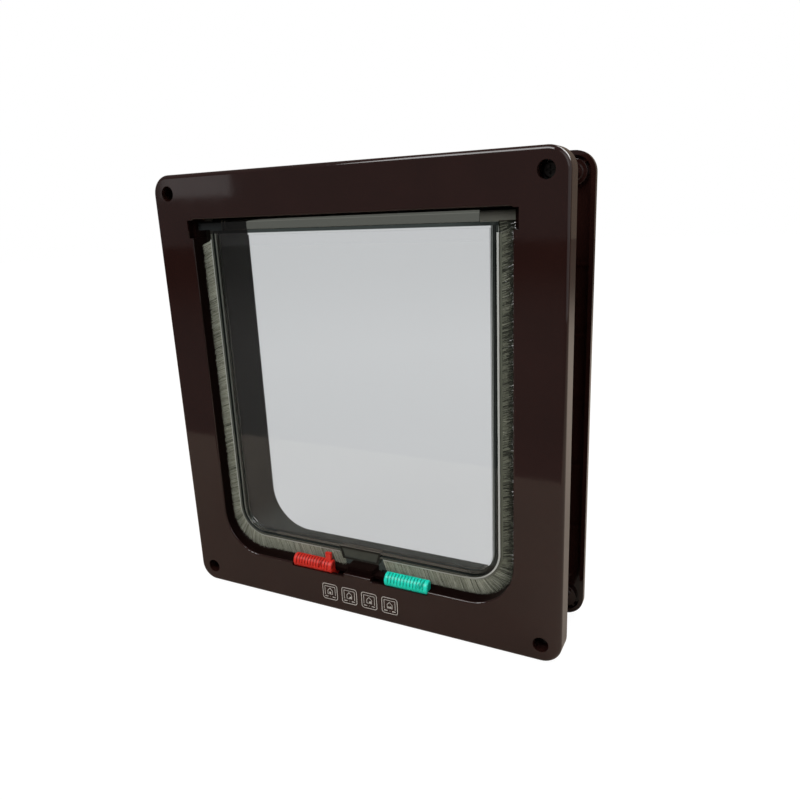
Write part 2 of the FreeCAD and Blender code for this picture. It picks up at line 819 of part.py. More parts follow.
def make_brush_pile(label, side):
    """The pile on the base strip: it leans one way round the flap, and stands up to the barrel at the right."""
    body = make_body(label)
    sketch = face_sketch(body, "flap_middle - pile_thickness / 2")
    root_half, root_low = "backing_half + seat_slack", "backing_low - seat_slack"
    if side < 0:
        top_end = [("-pile_half", "pile_inner_top - pile_slant"), (f"-({root_half})", "pile_inner_top")]
    else:
        shoulder = "flap_half + seat_slack"
        over_strip = "pile_inner_top + seat_slack"
        top_end = [
            ("pile_half", "pile_right_top"),
            (shoulder, "pile_right_top"),
            (shoulder, over_strip),
            (root_half, over_strip),
        ]
    outline(
        sketch,
        [
            (f"{side} * brush_end", root_low),
            (f"{side} * brush_end + pile_slant", "pile_low"),
            (f"{side} * pile_half", "pile_low", "pile_radius"),
        ]
        + top_end
        + [(f"{side} * ({root_half})", root_low, "flap_radius + backing_proud + seat_slack")],
    )
    grow(body, sketch, "pile_thickness", True, "pile")
    return body


def make_lock(label, side, foot_back, post_front, post_root):
    """Lock: ribbed half-round knob, a foot that slides under the sill and a post that stops the flap."""
    body = make_body(label)
    start = "knob_inner_end" if side > 0 else "-knob_outer_end"
    profile = side_sketch(body, start)
    draw_knob(profile, foot_back)
    grow(body, profile, "knob_length", name="knob")
    round_edges(
        body,
        "knob_end_round",
        lambda edge: hasattr(edge.Curve, "Radius") and not lies_at(edge, "z", "knob_centre_z"),
        "knob_ends",
    )

    groove = side_sketch(
        body,
        f"{start} + knob_length / 2 - (knob_rib_count - 1) * knob_rib_pitch / 2 - knob_rib_gap / 2",
    )
    draw_groove(groove)
    first = cut(body, groove, "knob_rib_gap", along_normal=True, name="groove")
    ribs = body.newObject("PartDesign::LinearPattern", "grooves")
    ribs.Originals = [first]
    across = next(item for item in body.Origin.OriginFeatures if item.Role == "X_Axis")
    ribs.Direction = (across, [""])
    bind(ribs, "Length", "(knob_rib_count - 1) * knob_rib_pitch")
    bind(ribs, "Occurrences", "knob_rib_count")
    body.Tip = ribs
    doc.recompute()

    post = plan_sketch(body, post_root)
    rectangle(
        post,
        f"{side} * post_inner",
        post_front,
        f"{side} * post_outer",
        f"{post_front} + post_thickness",
        "post_round",
    )
    grow(body, post, f"post_top - ({post_root})", name="post")
    return body


def draw_knob(sketch, foot_back):
    """Section of the knob and its foot: a half-round front, a flat back, a neck and the foot."""
    spots = [
        ("knob_centre_y - sqrt(knob_radius ^ 2 - (knob_centre_z - knob_lip) ^ 2)", "knob_lip"),
        ("foot_front", "knob_lip"),
        ("foot_front", "foot_bottom"),
        (foot_back, "foot_bottom"),
        (foot_back, "foot_top"),
        ("knob_rear", "foot_top"),
        ("knob_rear", "knob_centre_z + knob_radius"),
        ("knob_centre_y", "knob_centre_z + knob_radius"),
    ]
    chain_with_arc(sketch, spots, "knob_radius")


def draw_groove(sketch):
    """Section of one groove between two ribs, down the knob's front."""
    inner = "(knob_radius - knob_rib_depth)"
    out = "knob_radius + knob_rib_gap"
    low = "knob_centre_z - knob_rib_gap"
    spots = [
        (f"knob_centre_y - sqrt({inner} ^ 2 - knob_rib_gap ^ 2)", low),
        (f"knob_centre_y - ({out})", low),
        (f"knob_centre_y - ({out})", f"knob_centre_z + {out}"),
        ("knob_centre_y", f"knob_centre_z + {out}"),
        ("knob_centre_y", f"knob_centre_z + {inner}"),
    ]
    chain_with_arc(sketch, spots, inner)


def chain_with_arc(sketch, spots, radius):
    """Straight sides from spot to spot, and an arc about the knob's centre from the last to the first."""
    points = [FreeCAD.Vector(number(x), number(y), 0) for x, y in spots]
    for near, far in zip(points, points[1:]):
        sketch.addGeometry(Part.LineSegment(near, far), False)
    centre = FreeCAD.Vector(number("knob_centre_y"), number("knob_centre_z"), 0)
    first, last = points[0] - centre, points[-1] - centre
    ring = Part.Circle(centre, FreeCAD.Vector(0, 0, 1), number(radius))
    start, end = math.atan2(last.y, last.x), math.atan2(first.y, first.x) % (2 * math.pi)
    arc = sketch.addGeometry(Part.ArcOfCircle(ring, start, end), False)
    for line in range(arc - 1):
        sketch.addConstraint(Sketcher.Constraint("Coincident", line, 2, line + 1, 1))
    sketch.addConstraint(Sketcher.Constraint("Coincident", arc - 1, 2, arc, 1))
    sketch.addConstraint(Sketcher.Constraint("Coincident", arc, 2, 0, 1))
    hold_point(sketch, arc, 3, "knob_centre_y", "knob_centre_z")
    hold(sketch, "Radius", (arc,), radius)
    for line, (x, y) in enumerate(spots[1:-1], start=1):
        hold_point(sketch, line, 1, x, y)
    hold(sketch, "DistanceY", (-1, 1, 0, 1), spots[0][1])
    hold(sketch, "DistanceX", (-1, 1, arc - 1, 2), spots[-1][0])


def make_lock_cover():
    """Cover that closes the lock channel from below and behind, and holds up the sill magnet."""
    body = make_body("lock_cover")
    ends = "cover_half_length"
    shelf = plan_sketch(body, "cover_floor - cover_wall")
    rectangle(shelf, f"-{ends}", "foot_front", ends, "cover_back_out")
    grow(body, shelf, "cover_wall", name="shelf")
    walls = plan_sketch(body, "cover_floor - cover_wall / 2")
    rectangle(walls, f"-{ends}", "cover_back_in", ends, "cover_back_out")
    grow(body, walls, "sill_under - fit_gap - cover_floor + cover_wall / 2", name="back_wall")
    for side, _ in both_sides(ends):
        end_wall = plan_sketch(body, "cover_floor - cover_wall / 2")
        rectangle(
            end_wall, f"{side} * ({ends} - cover_wall)", "foot_front", f"{side} * {ends}", "cover_back_out"
        )
        grow(body, end_wall, "sill_under - fit_gap - cover_floor + cover_wall / 2", name="end_wall")
    flange = plan_sketch(body, "cover_flange_low")
    rectangle(flange, f"-{ends}", "cover_boss_end", ends, "cover_boss_end + cover_wall")
    grow(body, flange, "cover_floor - cover_flange_low - cover_wall / 2", name="flange")
    pillar = plan_sketch(body, "cover_floor - cover_wall / 2")
    magnet_place(pillar, "-cover_wall / 2")
    grow(body, pillar, "magnet_low - fit_gap - cover_floor + cover_wall / 2", name="magnet_pillar")
    holes = face_sketch(body, "cover_boss_end")
    for _, x in both_sides("cover_screw_half_spacing"):
        circle(holes, x, "cover_screw_height", "cover_shank_radius + shank_slack")
    cut(body, holes, "cover_wall", name="screw_holes")
    return body


def make_screw(label, x, height, under_head, tip, shank_radius, head_radius, head_height):
    """Pan-head screw with a cross recess, its head toward -Y when the tip lies behind the seat."""
    body = make_body(label)
    inward = number(tip) > number(under_head)
    shank = face_sketch(body, under_head)
    circle(shank, x, height, shank_radius)
    length = f"{tip} - ({under_head})" if inward else f"{under_head} - ({tip})"
    grow(body, shank, length, inward, "shank")
    head = face_sketch(body, under_head)
    circle(head, x, height, head_radius)
    grow(body, head, head_height, not inward, "head")
    top = f"{under_head} - {head_height}" if inward else f"{under_head} + {head_height}"
    round_edges(body, f"{head_height} * head_round_share", lambda edge: lies_at(edge, "y", top), "head_edge")
    recess = face_sketch(body, top)
    arm, half = f"{head_radius} * recess_reach", "recess_width / 2"
    outline(
        recess,
        [
            (f"{x} + {dx}", f"{height} + {dz}")
            for dx, dz in (
                (f"-{half}", f"-{arm}"), (half, f"-{arm}"), (half, f"-{half}"), (arm, f"-{half}"),
                (arm, half), (half, half), (half, arm), (f"-{half}", arm),
                (f"-{half}", half), (f"-{arm}", half), (f"-{arm}", f"-{half}"), (f"-{half}", f"-{half}"),
            )
        ],
    )
    cut(body, recess, f"{head_height} * recess_share", along_normal=not inward, name="recess")
    return body


def make_box(label, low, high):
    """A plain block between two corners, each given as three expressions."""
    box = doc.addObject("Part::Box", label)
    box.Label = label
    for prop, axis, near, far in zip(("Length", "Width", "Height"), "xyz", low, high):
        bind(box, prop, f"{far} - ({near})")
        bind(box, f"Placement.Base.{axis}", near)
    return box


def make_pin(label, side):
    """Steel pivot pin, half in the flap's barrel and half in its bush."""
    pin = doc.addObject("Part::Cylinder", label)
    pin.Label = label
    bind(pin, "Radius", "pin_radius")
    bind(pin, "Height", "pin_end - pin_start")
    pin.Placement.Rotation = FreeCAD.Rotation(FreeCAD.Vector(0, 1, 0), 90)
    bind(pin, "Placement.Base.x", "pin_start" if side > 0 else "-pin_end")
    bind(pin, "Placement.Base.y", "flap_middle")
    bind(pin, "Placement.Base.z", "axis_height")
    return pin


def make_bush(label, side):
    """Bearing block that is pushed into the pivot pocket from the front, with the pin's bore."""
    body = make_body(label)
    near = "ap_half + bush_gap" if side > 0 else "-pocket_half + bush_gap"
    sketch = side_sketch(body, near)
    rectangle(
        sketch,
        "front + bush_setback",
        "pocket_low + bush_gap",
        "front + pocket_depth - bush_gap",
        "pocket_high - bush_gap",
    )
    circle(sketch, "flap_middle", "axis_height", "pin_radius + pin_slack")
    grow(body, sketch, "pocket_sideways - 2 * bush_gap", name="block")
    return body


def make_all():
    window_low = "block_bottom + magnet_rise"
    magnet_back = "block_back - cap_thickness"
    pieces = [make_inner_frame(), make_outer_frame(), make_flap_pane(), make_magnet_holder()]
    for word, side in (("left", -1), ("right", 1)):
        pieces.append(make_brush_backing(f"brush_backing_{word}", side))
        pieces.append(make_brush_pile(f"brush_pile_{word}", side))
        pieces.append(make_pin(f"pivot_pin_{word}", side))
        pieces.append(make_bush(f"pivot_bush_{word}", side))
        pieces.append(
            make_screw(
                f"cover_screw_{word}",
                f"{side} * cover_screw_half_spacing",
                "cover_screw_height",
                "cover_boss_end + cover_wall",
                "cover_boss_end - cover_boss_height + screw_tip_gap",
                "cover_shank_radius",
                "cover_head_radius",
                "cover_head_height",
            )
        )
        for level, height in (("bottom", "screw_low"), ("top", "screw_high")):
            pieces.append(
                make_screw(
                    f"fixing_screw_{level}_{word}",
                    f"{side} * screw_half_x",
                    height,
                    "front + counterbore_depth",
                    "outer_seat + pilot_depth - screw_tip_gap",
                    "shank_radius",
                    "head_radius",
                    "head_height",
                )
            )
    pieces.append(
        make_box(
            "flap_magnet",
            ("-magnet_length / 2", f"{magnet_back} - magnet_thickness", window_low),
            ("magnet_length / 2", magnet_back, f"{window_low} + magnet_height"),
        )
    )
    pieces.append(
        make_box(
            "magnet_cap",
            ("-magnet_length / 2 - cap_margin", magnet_back, f"{window_low} - cap_margin"),
            ("magnet_length / 2 + cap_margin", "block_back", f"{window_low} + magnet_height + cap_margin"),
        )
    )
    pieces.append(
        make_box(
            "sill_magnet",
            ("-sill_magnet_length / 2", "sill_magnet_middle - sill_magnet_width / 2", "magnet_low"),
            (
                "sill_magnet_length / 2",
                "sill_magnet_middle + sill_magnet_width / 2",
                "magnet_low + sill_magnet_height",
            ),
        )
    )
    pieces.append(
        make_lock("red_lock", -1, "front + red_foot_back", "red_post_back - post_thickness", "knob_centre_z")
    )
    pieces.append(make_lock("green_lock", 1, "green_post_back", "green_post_front", "foot_bottom"))
    pieces.append(make_lock_cover())
    return pieces


def check_pieces(pieces):
    doc.recompute()
    for item in doc.Objects:
        if "Invalid" in item.State or "Error" in item.State:
            raise RuntimeError(f"{item.Label} failed: {item.State}")
    for piece in pieces:
        if piece.Shape.isNull() or not piece.Shape.isValid():
            raise RuntimeError(f"{piece.Label} has no valid shape")
        if len(piece.Shape.Solids) != 1:
            raise RuntimeError(f"{piece.Label} has {len(piece.Shape.Solids)} solids")


pieces = make_all()
check_pieces(pieces)
os.makedirs("parts", exist_ok=True)
for piece in pieces:
    piece.Shape.exportStep(f"parts/{piece.Label}.step")
    box = piece.Shape.BoundBox
    print(
        f"{piece.Label}: volume {piece.Shape.Volume:.1f}, "
        f"x {box.XMin:.2f} to {box.XMax:.2f}, y {box.YMin:.2f} to {box.YMax:.2f}, "
        f"z {box.ZMin:.2f} to {box.ZMax:.2f}"
    )
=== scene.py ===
import json
import math
import random

import bpy
from mathutils import Matrix, Vector


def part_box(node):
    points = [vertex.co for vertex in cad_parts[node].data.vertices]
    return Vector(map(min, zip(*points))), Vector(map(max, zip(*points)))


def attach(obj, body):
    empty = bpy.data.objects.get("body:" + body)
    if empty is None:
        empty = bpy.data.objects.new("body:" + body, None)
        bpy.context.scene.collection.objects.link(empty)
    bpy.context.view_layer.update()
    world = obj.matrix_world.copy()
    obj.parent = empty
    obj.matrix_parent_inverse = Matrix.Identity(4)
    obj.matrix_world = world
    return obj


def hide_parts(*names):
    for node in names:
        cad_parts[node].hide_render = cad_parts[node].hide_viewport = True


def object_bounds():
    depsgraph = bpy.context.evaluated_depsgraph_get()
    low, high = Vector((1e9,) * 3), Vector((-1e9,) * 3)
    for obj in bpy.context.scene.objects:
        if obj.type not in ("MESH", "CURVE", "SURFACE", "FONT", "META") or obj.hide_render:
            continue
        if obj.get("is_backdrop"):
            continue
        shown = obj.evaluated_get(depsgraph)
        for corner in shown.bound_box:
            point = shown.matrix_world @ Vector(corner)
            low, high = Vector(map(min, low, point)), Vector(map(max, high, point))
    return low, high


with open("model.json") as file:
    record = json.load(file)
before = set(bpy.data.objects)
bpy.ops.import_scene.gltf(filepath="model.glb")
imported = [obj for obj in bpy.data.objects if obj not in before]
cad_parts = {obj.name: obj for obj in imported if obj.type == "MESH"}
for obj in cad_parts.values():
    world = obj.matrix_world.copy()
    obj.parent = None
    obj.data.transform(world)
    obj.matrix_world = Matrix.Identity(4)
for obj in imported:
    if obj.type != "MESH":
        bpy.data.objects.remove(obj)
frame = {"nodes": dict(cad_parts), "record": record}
cad_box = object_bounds()
nodes = frame["nodes"]

MM = 0.001
WHITE = (1.0, 1.0, 1.0, 1.0)


# Camera: fitted to the photograph's corners and screw holes.
CAMERA_SPOT = Vector((189.37, -329.39, 226.96)) * MM
CAMERA_YAW = 0.4780
CAMERA_PITCH = -0.2698
CAMERA_ROLL = 0.0448
CAMERA_LENS = 31.2266
SENSOR_WIDTH = 36.0


def add_camera():
    data = bpy.data.cameras.new("camera")
    data.lens = CAMERA_LENS
    data.sensor_width = SENSOR_WIDTH
    camera = bpy.data.objects.new("camera", data)
    turn = (
        Matrix.Rotation(CAMERA_YAW, 4, "Z")
        @ Matrix.Rotation(CAMERA_PITCH, 4, "X")
        @ Matrix.Rotation(CAMERA_ROLL, 4, "Y")
        @ Matrix.Rotation(math.radians(90), 4, "X")
    )
    camera.matrix_world = Matrix.Translation(CAMERA_SPOT) @ turn
    bpy.context.scene.collection.objects.link(camera)
    bpy.context.scene.camera = camera
    bpy.context.scene.view_settings.view_transform = "Standard"


# Node trees. A colour mix's sockets go by number, since several of them share a name.
MIX_SHARE, MIX_PLAIN, MIX_CHANGED, MIX_COLOUR = 0, 6, 7, 2
RANGE_SOCKETS = ("From Min", "From Max", "To Min", "To Max")
NOISE_LOW, NOISE_HIGH = 0.3, 0.7
NOISE_DETAIL = 2.0
GRAIN_DETAIL = 3.0
GLOSS_WAVES = 3


class Tree:
    """A material's or world's nodes, added and joined in short lines."""

    def __init__(self, owner, keep=False):
        owner.use_nodes = True
        self.tree = owner.node_tree
        if not keep:
            self.tree.nodes.clear()

    def add(self, kind, **inputs):
        node = self.tree.nodes.new(kind)
        for name, value in inputs.items():
            self.put(node, name.replace("_", " "), value)
        return node

    def put(self, node, name, value):
        """Sets an input, or joins it to another node's output."""
        socket = node.inputs[name]
        if isinstance(value, bpy.types.NodeSocket):
            self.tree.links.new(value, socket)
        else:
            socket.default_value = value

    def place(self):
        """The point's place in the object's own metres, the same as in the frame at rest."""
        return self.add("ShaderNodeTexCoord").outputs["Object"]

    def place_parts(self):
        """The same place as X, Y and Z."""
        return self.add("ShaderNodeSeparateXYZ", Vector=self.place()).outputs

    def noise(self, scale, detail=NOISE_DETAIL):
        """Noise in the object's own metres; scale is in waves per metre."""
        node = self.add("ShaderNodeTexNoise", Vector=self.place(), Scale=scale, Detail=detail)
        return node.outputs["Fac"]

    def ramp(self, fac, stops):
        node = self.tree.nodes.new("ShaderNodeValToRGB")
        self.put(node, "Fac", fac)
        points = node.color_ramp.elements
        while len(points) < len(stops):
            points.new(0.5)
        for point, (place, colour) in zip(points, stops):
            point.position = place
            point.color = colour
        return node.outputs["Color"]

    def map_range(self, value, from_low, from_high, to_low=0.0, to_high=1.0):
        """Maps one range evenly onto another and holds its ends beyond them."""
        node = self.add("ShaderNodeMapRange", Value=value)
        for name, limit in zip(RANGE_SOCKETS, (from_low, from_high, to_low, to_high)):
            node.inputs[name].default_value = limit
        return node.outputs["Result"]

    def spread(self, fac, low, high):
        """Maps a noise's usual middle range onto low to high."""
        return self.map_range(fac, NOISE_LOW, NOISE_HIGH, low, high)

    def math(self, operation, first, second=0.0):
        """One step of arithmetic; a comparison gives 1 where it holds and 0 elsewhere."""
        node = self.tree.nodes.new("ShaderNodeMath")
        node.operation = operation
        for index, value in enumerate((first, second)):
            self.put(node, index, value)
        return node.outputs[0]

    def without(self, share):
        """What is left of 1 beside a share."""
        return self.math("SUBTRACT", 1.0, share)

    def between(self, value, low, high):
        """1 from low to high, 0 elsewhere."""
        above = self.math("GREATER_THAN", value, low)
        return self.math("MULTIPLY", above, self.math("LESS_THAN", value, high))

    def distance(self, first, second):
        """The length of a way with these two parts."""
        squares = [self.math("MULTIPLY", part, part) for part in (first, second)]
        return self.math("SQRT", self.math("ADD", *squares))

    def blend(self, share, plain, changed):
        """One colour where share is 0, the other where it is 1."""
        node = self.tree.nodes.new("ShaderNodeMix")
        node.data_type = "RGBA"
        self.put(node, MIX_SHARE, share)
        self.put(node, MIX_PLAIN, plain)
        self.put(node, MIX_CHANGED, changed)
        return node.outputs[MIX_COLOUR]

    def bump(self, height, depth):
        """Bends the surface's normal as if the height raised it by up to depth."""
        node = self.add("ShaderNodeBump", Height=height, Distance=depth)
        node.inputs["Strength"].default_value = 1.0
        return node.outputs["Normal"]

    def shader(self):
        """The principled shader of a material that surface() made."""
        return next(node for node in self.tree.nodes if node.type == "BSDF_PRINCIPLED")

    def recolour(self, share, changed):
        """Leads the principled shader's colour over to another one by share."""
        plain = self.shader().inputs["Base Color"].links[0].from_socket
        self.put(self.shader(), "Base Color", self.blend(share, plain, changed))

    def show(self, shader):
        """Joins a shader to the material's output."""
        out = self.add("ShaderNodeOutputMaterial")
        self.put(out, "Surface", shader.outputs[0])


def linear(*channels):
    """A colour in red, green and blue from 0 to 255, on the renderer's linear scale."""
    def one(channel):
        part = channel / 255
        return part / 12.92 if part <= 0.04045 else ((part + 0.055) / 1.055) ** 2.4

    return tuple(one(channel) for channel in channels) + (1.0,)


def scaled(colour, factor):
    """A colour made darker or lighter, no lighter than full."""
    return tuple(min(1.0, part * factor) for part in colour[:3]) + (colour[3],)


def surface(name, colour, change, roughness, waves, grain, **sockets):
    """A principled material whose colour, roughness and bump all vary a little.

    change is the colour's share of change, roughness is (low, high), waves is the noise's waves
    per metre and grain is the bump's (waves per metre, depth in metres). Each further name is an
    input of the shader.
    """
    material = bpy.data.materials.new(name)
    tree = Tree(material)
    shader = tree.add("ShaderNodeBsdfPrincipled")
    patches = tree.noise(waves)
    deep_and_pale = [(NOISE_LOW, scaled(colour, 1 - change)), (NOISE_HIGH, scaled(colour, 1 + change))]
    tree.put(shader, "Base Color", tree.ramp(patches, deep_and_pale))
    tree.put(shader, "Roughness", tree.spread(tree.noise(waves * GLOSS_WAVES), *roughness))
    grain_waves, grain_depth = grain
    tree.put(shader, "Normal", tree.bump(tree.noise(grain_waves, GRAIN_DETAIL), grain_depth))
    for socket, value in sockets.items():
        shader.inputs[socket.replace("_", " ")].default_value = value
    tree.show(shader)
    return material


RED = linear(221, 46, 34)
GREEN = linear(16, 234, 206)
STEEL = linear(58, 56, 54)
MAGNET_GREY = linear(52, 51, 52)
PRINT_PALE = linear(205, 202, 197)
HAIR_DEEP = linear(56, 59, 49)
HAIR_DARK = linear(124, 128, 112)
HAIR_MIDDLE = linear(154, 158, 142)
HAIR_LIGHT = linear(182, 185, 170)


def make_materials():
    return {
        "frame": frame_material(),
        "flap": flap_material(),
        "holder": holder_material(),
        "backing": backing_material(),
        "red": lock_material("red_lock_plastic", RED),
        "green": lock_material("green_lock_plastic", GREEN),
        # The steel is made dark.
        "steel": surface(
            "dark_steel", STEEL, 0.10, (0.25, 0.42), 400, (2600, 0.01 * MM), Metallic=1.0
        ),
        "magnet": surface("sintered_magnet", MAGNET_GREY, 0.12, (0.45, 0.6), 500, (1600, 0.03 * MM)),
        "print": surface("pale_print", PRINT_PALE, 0.10, (0.45, 0.55), 300, (2500, 0.004 * MM)),
        "pile": hair_shade("pile_hair_middle", HAIR_MIDDLE),
        "pile_dark": hair_shade("pile_hair_dark", HAIR_DARK),
        "pile_light": hair_shade("pile_hair_light", HAIR_LIGHT),
        "pile_deep": hair_shade("pile_hair_deep", HAIR_DEEP),
    }


# The frames: gloss outside, and a fine matt texture on the walls of the aperture and the tunnel.
# The aperture lies in shade in front of the flap and is painted darker as that shade. The tunnel behind
# it is greyer, and its floor is painted paler as the light from above that it catches, fading out up
# the walls. All those walls lie inside one box, given by its middle and half its size.
FRAME_BROWN = linear(40, 21, 18)
APERTURE_SHADE_BROWN = linear(20, 9, 8)
TUNNEL_GREY = linear(35, 36, 34)
LIT_TUNNEL_FLOOR = linear(74, 81, 79)
FLOOR_RISE = (19.0 * MM, 40.0 * MM)
INSIDE_MIDDLE = Vector((0.0, 0.0, 123.5)) * MM
INSIDE_HALF = Vector((96.6, 26.6, 105.9)) * MM
TUNNEL_START = -16.0 * MM
MATT_ROUGHNESS = 0.35
GLOSS_SPECULAR = 0.5
MATT_SPECULAR = 0.03


def frame_material():
    material = surface("gloss_brown_plastic", FRAME_BROWN, 0.10, (0.045, 0.075), 35, (260, 0.004 * MM))
    tree = Tree(material, keep=True)
    parts = tree.place_parts()
    inside = 1.0
    for name, middle, half in zip("XYZ", INSIDE_MIDDLE, INSIDE_HALF):
        away = tree.math("ABSOLUTE", tree.math("SUBTRACT", parts[name], middle))
        inside = tree.math("MULTIPLY", inside, tree.math("LESS_THAN", away, half))
    in_tunnel = tree.math("GREATER_THAN", parts["Y"], TUNNEL_START)
    # Painted light on the tunnel's floor, and painted shade on the aperture's walls in front of the flap.
    tunnel = tree.blend(tree.map_range(parts["Z"], *FLOOR_RISE), LIT_TUNNEL_FLOOR, TUNNEL_GREY)
    tree.recolour(inside, tree.blend(in_tunnel, APERTURE_SHADE_BROWN, tunnel))
    shader = tree.shader()
    gloss = shader.inputs["Roughness"].links[0].from_socket
    tree.put(shader, "Roughness", tree.math("ADD", gloss, tree.math("MULTIPLY", inside, MATT_ROUGHNESS)))
    dulled = tree.math("MULTIPLY", inside, GLOSS_SPECULAR - MATT_SPECULAR)
    tree.put(shader, "Specular IOR Level", tree.math("SUBTRACT", GLOSS_SPECULAR, dulled))
    return material


# The lock knobs: the grooves between their ribs lie in shade.
KNOB_Y = -23.2 * MM
KNOB_Z = 26.0 * MM
GROOVE_RADIUS = 3.98 * MM
GROOVE_SHADE = 0.58


def lock_material(name, colour):
    material = surface(name, colour, 0.06, (0.34, 0.42), 180, (400, 0.004 * MM))
    tree = Tree(material, keep=True)
    parts = tree.place_parts()
    backward = tree.math("SUBTRACT", parts["Y"], KNOB_Y)
    upward = tree.math("SUBTRACT", parts["Z"], KNOB_Z)
    near = tree.math("LESS_THAN", tree.distance(backward, upward), GROOVE_RADIUS)
    on_front = tree.math("LESS_THAN", backward, 0.0)
    above = tree.math("GREATER_THAN", upward, 0.0)
    groove = tree.math("MULTIPLY", near, tree.math("MULTIPLY", on_front, above))
    tree.recolour(groove, scaled(colour, GROOVE_SHADE))
    return material


# The flap's outline, and where what differs on its right side begins.
FLAP_HALF = 84.0 * MM
FLAP_RADIUS = 17.0 * MM
RIGHT_START = 60.0 * MM

# The brush's base strip: pale, and covered by the hairs' feet where it runs up the right side.
STRIP_PALE = linear(196, 200, 194)
STRIP_COVERED = linear(100, 104, 91)


def backing_material():
    material = surface("pale_brush_base", STRIP_PALE, 0.10, (0.45, 0.6), 120, (2500, 0.05 * MM))
    tree = Tree(material, keep=True)
    tree.recolour(tree.map_range(tree.place_parts()["X"], RIGHT_START, FLAP_HALF), STRIP_COVERED)
    return material


# The magnet holder: a dark rim round a paler panel that lies a little deeper; the rim's darkness is
# painted shade round the sunken panel.
HOLDER_RIM_SHADE = linear(16, 18, 15)
HOLDER_PANEL = linear(64, 68, 62)
PANEL_START = 0.2 * MM


def holder_material():
    material = surface(
        "dark_smoke_plastic", HOLDER_PANEL, 0.08, (0.3, 0.4), 200, (700, 0.008 * MM), Specular_IOR_Level=0.4
    )
    tree = Tree(material, keep=True)
    panel_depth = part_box("magnet_holder")[0].y + PANEL_START
    # Painted shade: the holder in front of the sunken panel is darkened.
    tree.recolour(tree.math("LESS_THAN", tree.place_parts()["Y"], panel_depth), HOLDER_RIM_SHADE)
    return material


# The clear plastic passes most light through the pane, less through the hinge bar and least through
# the rim. A paler band on the rim's ridge and a thin band near the bar's top are painted highlights; a
# band under the bar is painted shadow, and the rim's right side and the left barrel are painted darker
# as shade. Each band of the rim is measured inward from the flap's edge.
PANE_TINT = (0.575, 0.59, 0.60, 1.0)
BAR_TINT = (0.092, 0.096, 0.084, 1.0)
BAR_HIGHLIGHT_TINT = (0.20, 0.205, 0.185, 1.0)
RIM_TINT = (0.036, 0.045, 0.042, 1.0)
RIGHT_RIM_SHADE_TINT = (0.005, 0.008, 0.007, 1.0)
RIDGE_HIGHLIGHT_TINT = (0.150, 0.162, 0.143, 1.0)
RIM_CLEAR = 0.3
PANE_CLEAR = 0.986
CLEAR_SPECULAR = 0.25
CLEAR_INDEX = 1.49
EDGE_TINT = (0.11, 0.12, 0.10, 1.0)
WELD_COLOUR = linear(196, 200, 196)
BARREL_COLOUR = (0.14, 0.145, 0.125, 1.0)
LEFT_BARREL_SHADE = (0.020, 0.024, 0.025, 1.0)
BAR_HEIGHT = 5.4 * MM
BAR_END = 75.1 * MM
BAR_EDGE = (1.0 * MM, 1.3 * MM)
EDGE_BAND = 1.1 * MM
WELD_BAND = 1.0 * MM
UNDER_BAR_SHADOW = 1.7 * MM
BOTTOM_RIM = 2.6 * MM
SIDE_RIM = 4.0 * MM
RIDGE_BAND = (2.3 * MM, 3.8 * MM)
PANE_ROUGHNESS = (0.02, 0.05)
ROUGHNESS_WAVES = 90
RIPPLE_WAVES = 60
RIPPLE_DEPTH = 0.003 * MM


def flap_edge_distance(tree, x, z, bottom):
    """How far a point lies inside the flap's edge: a rounded corner at each side below, open above."""
    right = tree.math("SUBTRACT", tree.math("ABSOLUTE", x), FLAP_HALF - FLAP_RADIUS)
    down = tree.math("SUBTRACT", bottom + FLAP_RADIUS, z)
    right_out = tree.math("MAXIMUM", right, 0.0)
    down_out = tree.math("MAXIMUM", down, 0.0)
    inside = tree.math("MINIMUM", tree.math("MAXIMUM", right, down), 0.0)
    beyond = tree.math("ADD", tree.distance(right_out, down_out), inside)
    return tree.math("SUBTRACT", FLAP_RADIUS, beyond)


